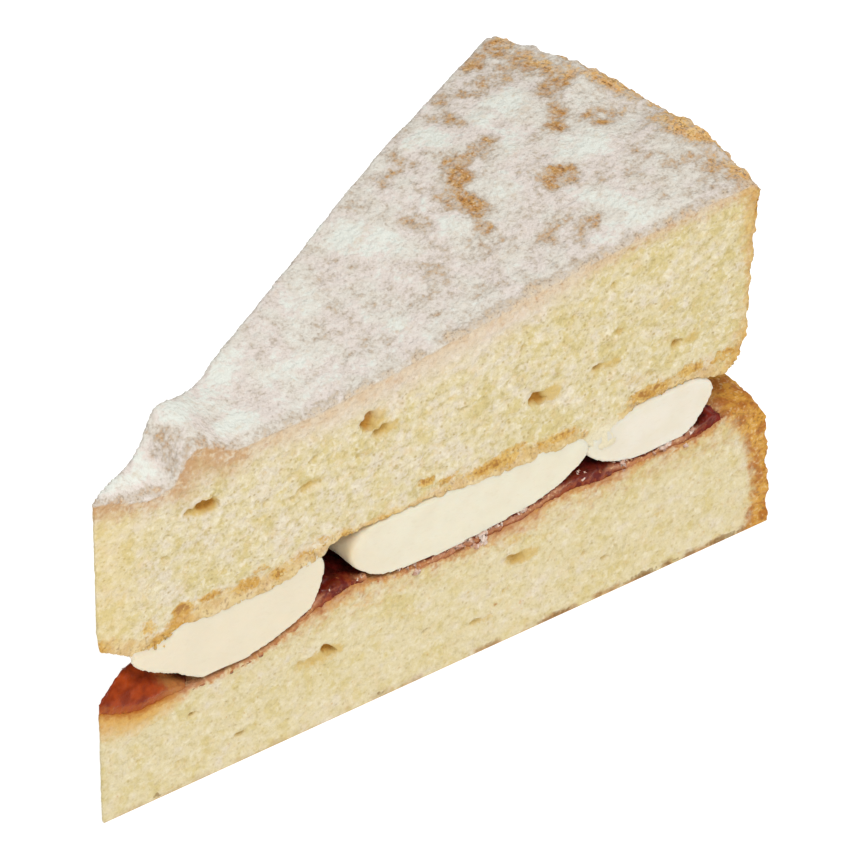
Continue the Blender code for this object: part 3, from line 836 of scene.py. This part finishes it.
# %% Mix the finish of the upper sponge
def upper_finish(name):
    """The cut crumb with its browned edges and spots, and over it the sugared skin of the top."""
    f = Finish(name)
    along = f.along()
    ragged = f.blotches((1.3, 11, 0.8), (0.6, 12, 0.5))
    crumb = crumb_colour(f, yellow=f.step(along, 60, 100, -0.05, 0.07), contrast=1.0)
    powder = f.times(f.fall(f.recall("from_top"), 2.0, 9.0), f.step(along, 25, 50, 0.1, 0.55))
    edge = crust_colour(f, "DCC9AE", "D5BA98", 0.3, 20)
    browned = f.plus(f.recall("browned"), f.blotches((0.7, 21, 1.2), (1.8, 22, 1.0)))
    edge = f.mix(f.step(browned, 0.45, 1.0, 0, 0.8), edge, "BC8A58")
    spots = f.plus(f.blotches((1.1, 11, 0.9), (0.5, 12, 1.0)), f.recall("spots"))
    gold = f.mix(f.step(spots, 0.8, 1.2), crust_colour(f, "D9B262", "C8963E", 0.65, 35), "A87028")
    crust = crust_colour(f, "DAB264", "CA9646", 0.5, 40)
    cut = f.layers(
        crumb,
        (f.step(along, 2, 14, 0.35, 0), "E4CA86"),
        (f.times(powder, f.fall(along, 80, 100)), "E2D4CC"),
        (f.step(f.reach("from_top", ragged, 4.0, "edge_width"), 0.2, 1.3, 0.9, 0), edge),
        (f.step(f.reach("from_under", ragged, 3.0, "golden"), 0.3, 1.1, 0.7, 0),
         crust_colour(f, "DFC28A", "CFA564", 0.8, 30)),
        (f.step(spots, 0.2, 0.8, 0, 0.9), gold),
        (f.step(f.reach("from_rim", ragged, 3.4, "crust"), 0.3, 1.1, 0.7, 0), crust),
        (f.fall(f.recall("from_rim"), 0.1, 0.6), crust),
        (f.step(f.recall("cream_smear"), 0.1, 0.8, 0, 0.85), "E6DBBC"),
    )

    grain = f.blotches((0.38, 27, 1.2), (0.7, 33, 1.0))
    dust = f.plus(f.recall("sugar"), f.blotches((0.45, 13, 0.4), (1.0, 15, 0.7), (2.2, 17, 0.6)))
    grey = f.times(f.step(grain, 0.0, 0.4, 0, 0.45), f.fall(dust, 0.35, 0.95))
    skin = f.layers(
        "C99A5E",
        (f.step(f.noise(1.2, 9), 0.4, 0.65), "B88040"),
        (f.step(along, 122, 126), f.mix(f.step(f.noise(2.2, 29), 0.4, 0.6), "EABF7C", "DCA866")),
        (f.fall(f.recall("from_front"), 0.6, 3.0), edge),
        (f.step(grain, 0.03, 0.35, 0, 0.8), "7C5630"),
        (f.step(grain, -0.4, -0.06, 0.7, 0), "E7D2AE"),
        (f.step(dust, -0.1, 0.42), "CCC0B0"),
        (f.step(dust, 0.24, 0.62), f.mix(f.step(f.noise(6, 19), 0.4, 0.6), "E3DDD1", "E5DAD1")),
        (f.step(dust, 0.62, 0.98), "E7E9DF"),
        (f.times(grey, f.step(dust, -0.15, 0.25)), "9F8C78"),
    )
    return sponge_surface(f, f.mix(f.fall(f.frayed("from_top", ragged, 1.0), 0.2, 1.1), cut, skin), 0.2)


# %% [markdown]
# ## Stains of the lower sponge
# Jam has soaked into the crumb of the lower sponge, golden near the point and reddish elsewhere. The base is
# browned in patches, more so towards the rim, and the rim is the darkest. All of it is laid over the same crumb,
# as a painter would glaze it, and the remembered distances say how strongly.

# %% Mix the finish of the lower sponge
def lower_finish(name):
    """The cut crumb, the jam that has soaked in, the browned base and rim, and smears of jam."""
    f = Finish(name)
    along = f.along()
    ragged = f.blotches((1.3, 11, 0.8), (0.6, 12, 0.5))
    crumb = crumb_colour(f, yellow=0.04, contrast=0.65)
    reach = f.reach("from_top", ragged, 3.0, "soaked")
    at_point = f.fall(along, 12, 18)
    stain = f.layers(f.mix(f.step(f.noise(1.6, 25), 0.38, 0.62), "D0A26C", "CA9468"), (at_point, "D5A04A"))
    patchy = f.step(f.noise(4.5, 27, 1), 0.42, 0.58)
    base = f.times(f.fall(f.frayed("from_under", ragged, 1.6), 0.4, 1.6), patchy)
    dark = f.plus(f.blotches((0.8, 55, 1.7)), f.recall("dark_base"))
    baked = f.calculate("MAXIMUM", f.step(f.reach("from_rim", ragged, 3.4, "crust"), 0.55, 1.2, 0.95, 0),
                        f.step(f.frayed("spots", ragged, 1.6), 0.25, 0.8))
    smear = f.plus(f.blotches((1.3, 61, 0.8), (0.6, 62, 0.6)), f.recall("jam_smear"))
    surface = f.layers(
        crumb,
        (f.plus(f.step(reach, 0.2, 1.15, 0.7, 0), f.times(at_point, 0.15)),
         f.mix(f.step(reach, 0.9, 1.2), stain, crumb)),
        (f.times(f.step(reach, 0.0, 0.5, 0.7, 0), f.fall(at_point, 0.0, 1.0)),
         f.mix(f.step(f.noise(1.1, 21), 0.4, 0.6), "B4785A", "A05C40")),
        (f.times(f.fall(f.frayed("from_top", ragged, 1.8), 0.0, 1.5), at_point), "B46E2A"),
        (f.times(base, f.step(along, 45, 85, 0.25, 0.85)), crust_colour(f, "B98A52", "8E6434", 0.6, 50)),
        (f.fall(f.recall("from_under"), 0.02, 0.15), crust_colour(f, "C99A5C", "B5803F", 0.6, 50)),
        (f.step(dark, 0.45, 0.9, 0, 0.65), "836335"),
        (baked, crust_colour(f, "D0983E", "B26E28", 0.7, 40)),
        (f.step(smear, 0.3, 0.6, 0, 0.9), f.mix(f.step(f.noise(1.0, 63), 0.4, 0.6), "7E2412", "561008")),
    )
    return sponge_surface(f, surface, 0.18)


# %% Put the finishes on the sponges
upper_sponge.data.materials.append(upper_finish("upper_sponge_finish"))
lower_sponge.data.materials.append(lower_finish("lower_sponge_finish"))
for piece, node in ((upper_sponge, "upper_sponge"), (lower_sponge, "lower_sponge")):
    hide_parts(node)
    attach(piece, "root")
    print(piece.name, "finish:", len(piece.data.materials[0].node_tree.nodes), "nodes")

# %% [markdown]
# ## Jam
# The jam is a thin, lumpy sheet that shows as a dark line under the cream, and lies bare near the point and
# between the rings. It is remeshed and swollen in two sizes of soft waves, as berries and seeds would do.
# Its lower edge has crept a little down the cut. Where the jam is thin, the crumb makes it orange brown, and
# where it is deep it is nearly black. That near black is also painted as shade where the jam lies back from
# the cut, the dark line under the cream is darkened with painted shade, and small golden specks on the bare
# jam are painted glints.

# %% Shape the jam
jam = copy_of("jam", "jam_layer")
remesh(jam, JAM_NET)
HEM_IN, CREEP_DOWN = 0.25, 1.2
from_edge = distances(jam, "lower_sponge", "top", 9)
weigh(
    jam,
    all=np.ones(len(jam.data.vertices)),
    deep=ease(12, 20, places(jam)[0]),
    hem=1 - ease(0.5, 2.3, from_edge),
    under=(from_edge < 0.9).astype(float),
)
for relief in (("all", "CLOUDS", 3.0, 0.35), ("all", "CLOUDS", 1.0, 0.4), ("deep", "VORONOI", 1.6, -0.6),
               ("hem", "CLOUDS", 0.7, 0.5)):
    roughen(jam, *relief)
swell(jam, -HEM_IN, "hem")
swell(jam, -CREEP_DOWN, "under", direction="Z")
bpy.ops.object.shade_smooth()

# %% Measure how far the jam lies from the cream and the sponge
RINGS = ("inner", "middle", "outer")
to_cream = np.minimum.reduce([distances(jam, f"cream_{ring}", "whole") for ring in RINGS])
jam.vertex_groups.clear()
remember(
    jam, to_cream=to_cream, from_edge=from_edge, above=distances(jam, "lower_sponge", "top", 9),
    from_cut=np.abs(behind_cut(*places(jam)[:2])),
)
print(f"the cream covers {(to_cream < 1).mean():.0%} of the jam's points")

# %% Mix the jam's finish
f = Finish("raspberry_jam")
along = f.along()
lumps = f.blotches((1.4, 3, 1.0), (0.7, 5, 0.8))
# Near black: the colour of thick jam, and painted shade where the jam lies back from the cut in the hollows.
deep = f.mix(f.step(f.noise(2.2), 0.4, 0.7), "4A0806", "260303")
bright = f.layers(
    f.mix(f.step(lumps, -0.2, 0.25), "64160C", "96441E"),
    # Small golden specks: painted glints on the bare jam.
    (f.step(f.noise(0.6, 11, 1), 0.64, 0.78, 0, 0.6), "CE8A50"),
)
smear = f.layers(
    f.mix(f.step(lumps, -0.25, 0.25), "8E4A34", "BE8664"),
    (f.fall(f.frayed("above", lumps, 1.2), 0.5, 1.2), "BE8050"),
    # Darker next to the cream: painted shade under the ring.
    (f.fall(f.frayed("to_cream", lumps, 1.0), 0.35, 1.0), "5E2014"),
    (f.step(f.noise(0.5, 13, 1), 0.56, 0.7, 0, 0.8), "DDB184"),
)
strip = f.times(f.fall(f.recall("above"), 1.4, 2.4), f.fall(f.recall("from_cut"), 0.8, 1.8))
low = f.frayed("from_edge", lumps, 0.9)
point = f.layers(
    f.mix(f.step(f.noise(2.5, 3), 0.35, 0.65), "A03E10", "7E2A08"),
    (f.fall(low, 0.6, 1.7), "A8561E"),
    (f.fall(low, 0.1, 0.9), "BC7630"),
    (f.step(f.calculate("MULTIPLY_ADD", lumps, 2.0, along), 11.5, 15.5, 0, 0.85), "B67A42"),
    # Darker next to the cream at the point: painted shade under the inner ring.
    (f.fall(f.frayed("to_cream", lumps, 1.5), 0.8, 2.6), "4A0F06"),
)
red = f.layers(
    deep,
    (f.fall(f.frayed("above", lumps, 3.0), 1.2, 3.6), bright),
    # Jam more than a few millimetres behind the cut turns near black: painted shade.
    (f.step(f.frayed("from_cut", lumps, 1.2), 0.6, 3.0, 0, 0.92), deep),
    (f.times(strip, f.fall(f.recall("to_cream"), 1.2, 2.4)), smear),
    (f.fall(along, 15, 20), point),
    (f.step(along, 113, 118), f.mix(f.step(f.noise(1.8, 5), 0.4, 0.7), "7C1E0C", "460A06")),
)
f.give(Base_Color=red, Roughness=f.step(f.noise(1.2, 7), 0.3, 0.7, 0.25, 0.5), Specular_IOR_Level=0.12,
       Coat_Weight=0.04, Coat_Roughness=0.12, Subsurface_Weight=0.1, Subsurface_Scale=1.0,
       Subsurface_Radius=(1.5 * MM, 0.4 * MM, 0.2 * MM))
f.bump(f.noise(0.8, 9, 2), 0.15)
jam.data.materials.append(f.material)
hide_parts("jam")
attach(jam, "root")
print("jam:", triangles(jam), "triangles")

# %% [markdown]
# ## Buttercream
# Three rings were piped round the cake, so a slice has a short arc of each. The cream is smooth, and it is
# pressed against the sponge above and the jam below, so each ring swells by a third of a millimetre to close the
# gap that the solids keep. The knife leaves faint streaks and tiny pits on the cut.

# %% Mix the cream's finish
f = Finish("buttercream")
along = f.along()
cream = f.layers(
    "E4D8BE",
    (f.step(along, 40, 60), f.mix(f.step(along, 90, 100), "E4DDC6", "E5DDCC")),
    # The left end of the middle ring lies in the hollow between the rings: a darker, warmer tint there is painted
    # shade.
    (f.times(f.step(along, 44, 45.5), f.fall(along, 46.5, 50)), "DCC59A"),
    (f.step(f.noise(5), 0.35, 0.65, 0, 0.4), "DDD2B8"),
    (f.step(f.noise(1.2, 3, 2, 2), 0.55, 0.8, 0, 0.25), "D6C7A8"),
)
f.give(Base_Color=cream, Roughness=0.5, Specular_IOR_Level=0.4, Subsurface_Weight=0.5, Subsurface_Scale=1.6,
       Subsurface_Radius=(1.5 * MM, 1.1 * MM, 0.8 * MM))
f.bump(f.noise(0.9, 7, 2, 3), 0.06)
buttercream = f.material
print("finish of the cream:", len(f.nodes), "nodes")

# %% Shape the three rings of cream
CREAM_SWELL = 0.34
for ring in RINGS:
    piece = copy_of(f"cream_{ring}", f"buttercream_{ring}")
    remesh(piece, CREAM_NET)
    weigh(piece, all=np.ones(len(piece.data.vertices)))
    finish_with(piece, "SMOOTH", factor=0.5, iterations=3)
    swell(piece, CREAM_SWELL)
    roughen(piece, "all", "CLOUDS", 5, 0.4)
    bpy.ops.object.shade_smooth()
    piece.data.materials.append(buttercream)
    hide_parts(f"cream_{ring}")
    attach(piece, "root")
    print(piece.name, triangles(piece), "triangles")

# %% [markdown]
# ## Crumbs
# A knife drags crumbs out of the sponge. Golden ones cling to the torn lower edge of the upper sponge, most of
# them near the point, where they hang over the cream. Paler ones, whitened by sugar, lie on the jam along the
# cut. Each kind is one piece, made of copies of five roughened pebbles that are turned and sized at random,
# from a fixed seed, and pressed a little into what carries them.

# %% Make five crumbs and the tool that scatters them
crumb_shapes = [pebble(f"crumb_shape_{seed}", seed, rough=0.3) for seed in (12, 15, 19, 23, 27)]


def crumb_finish(name, light, dark, pale):
    """Dry crumb that turns from light to dark in patches, with pale grains."""
    f = Finish(name)
    dry(f, f.layers(
        light,
        (f.step(f.noise(1.6, 2), 0.38, 0.62), dark),
        (f.step(f.noise(0.5, 5), 0.5, 0.75, 0, 0.7), pale),
    ))
    f.bump(f.noise(0.4, 3, 1), 0.2)
    return f.material


def scatter(name, piece, seed, groups, finish):
    """Flat crumbs pressed on a piece. A group is a mask of its points, a count, two sizes and how far they sink."""
    draw = random.Random(seed)
    made = []
    for mask, count, smallest, largest, sunk in groups:
        chosen = np.nonzero(mask)[0].tolist()
        for index in draw.sample(chosen, min(count, len(chosen))):
            point = piece.data.vertices[index]
            size = smallest + (largest - smallest) * draw.random() ** 2
            shape = Matrix.Diagonal((size * draw.uniform(1, 1.6), size * draw.uniform(0.6, 1), size * 0.6, 1))
            turn = point.normal.to_track_quat("Z", "Y").to_matrix().to_4x4()
            turn @= Matrix.Rotation(draw.uniform(0, 6.28), 4, "Z")
            made.append(Matrix.Translation(point.co - point.normal * sunk * size * MM) @ turn @ shape)
    crumbs = copies_joined(name, crumb_shapes, made)
    only(crumbs)
    bpy.ops.object.shade_smooth()
    crumbs.data.materials.append(finish)
    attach(crumbs, "root")
    print(name, len(made), "crumbs,", triangles(crumbs), "triangles")


def between(mask, along, *rows):
    """A group of crumbs for each row: where along it starts and ends, a count, two sizes and how far they sink."""
    return [(mask & (along > start) & (along < end), *group) for start, end, *group in rows]


# %% Scatter golden crumbs on the lower edge of the upper sponge
spots = places(upper_sponge)
along, across, _ = spots
lower_edge = (distances(upper_sponge, "upper_sponge", "under", 2) < 1.0) & (patches(4, 41, *spots) > 0.05)
lower_edge &= np.abs(behind_cut(along, across)) < 1.0
scatter("crumbs_golden", upper_sponge, 31, [
    *between(lower_edge & (across < 0), along, (9, 19, 10, 0.6, 1.4, 0.3), (18, 50, 34, 0.5, 1.0, 0.25),
             (66, 92, 26, 0.5, 1.0, 0.25), (101, 124, 30, 0.5, 1.1, 0.25)),
    *between(lower_edge & (across >= 0), along, (8, 140, 70, 0.5, 1.1, 0.25)),
], crumb_finish("golden_crumbs", "E1C482", "CBA158", "EADAB0"))

# %% Scatter pale crumbs on the jam
spots = places(jam)
along, across, _ = spots
off_cut = np.abs(behind_cut(along, across))
cut_strip = (distances(jam, "lower_sponge", "top", 4) > 0.4) & (patches(3.5, 43, *spots) > 0.1) & (off_cut < 1.0)
scatter("crumbs_pale", jam, 37, [
    *between((to_cream < 1.6) & (off_cut < 0.8) & (across < 0), along, (7, 16, 6, 0.4, 0.9, 0.1)),
    *between(cut_strip & (across < 0), along, (43, 51, 4, 0.3, 0.6, 0.1), (50, 60, 6, 0.5, 1.0, 0.2),
             (60, 84, 46, 0.6, 1.7, 0.15), (86, 95, 5, 0.4, 0.8, 0.1), (95, 113, 26, 0.6, 1.6, 0.15)),
    (cut_strip & (across > 0), 30, 0.5, 1.3, 0.15),
], crumb_finish("sugared_crumbs", "E8D2C2", "C99C84", "F0E2D8"))

# %% [markdown]
# ## Helpers
# The stretched empty and the shapes of the bubbles and crumbs are removed.

# %% Remove the helpers
for helper in [stretched, *bubble_shapes, *crumb_shapes]:
    bpy.data.objects.remove(helper)
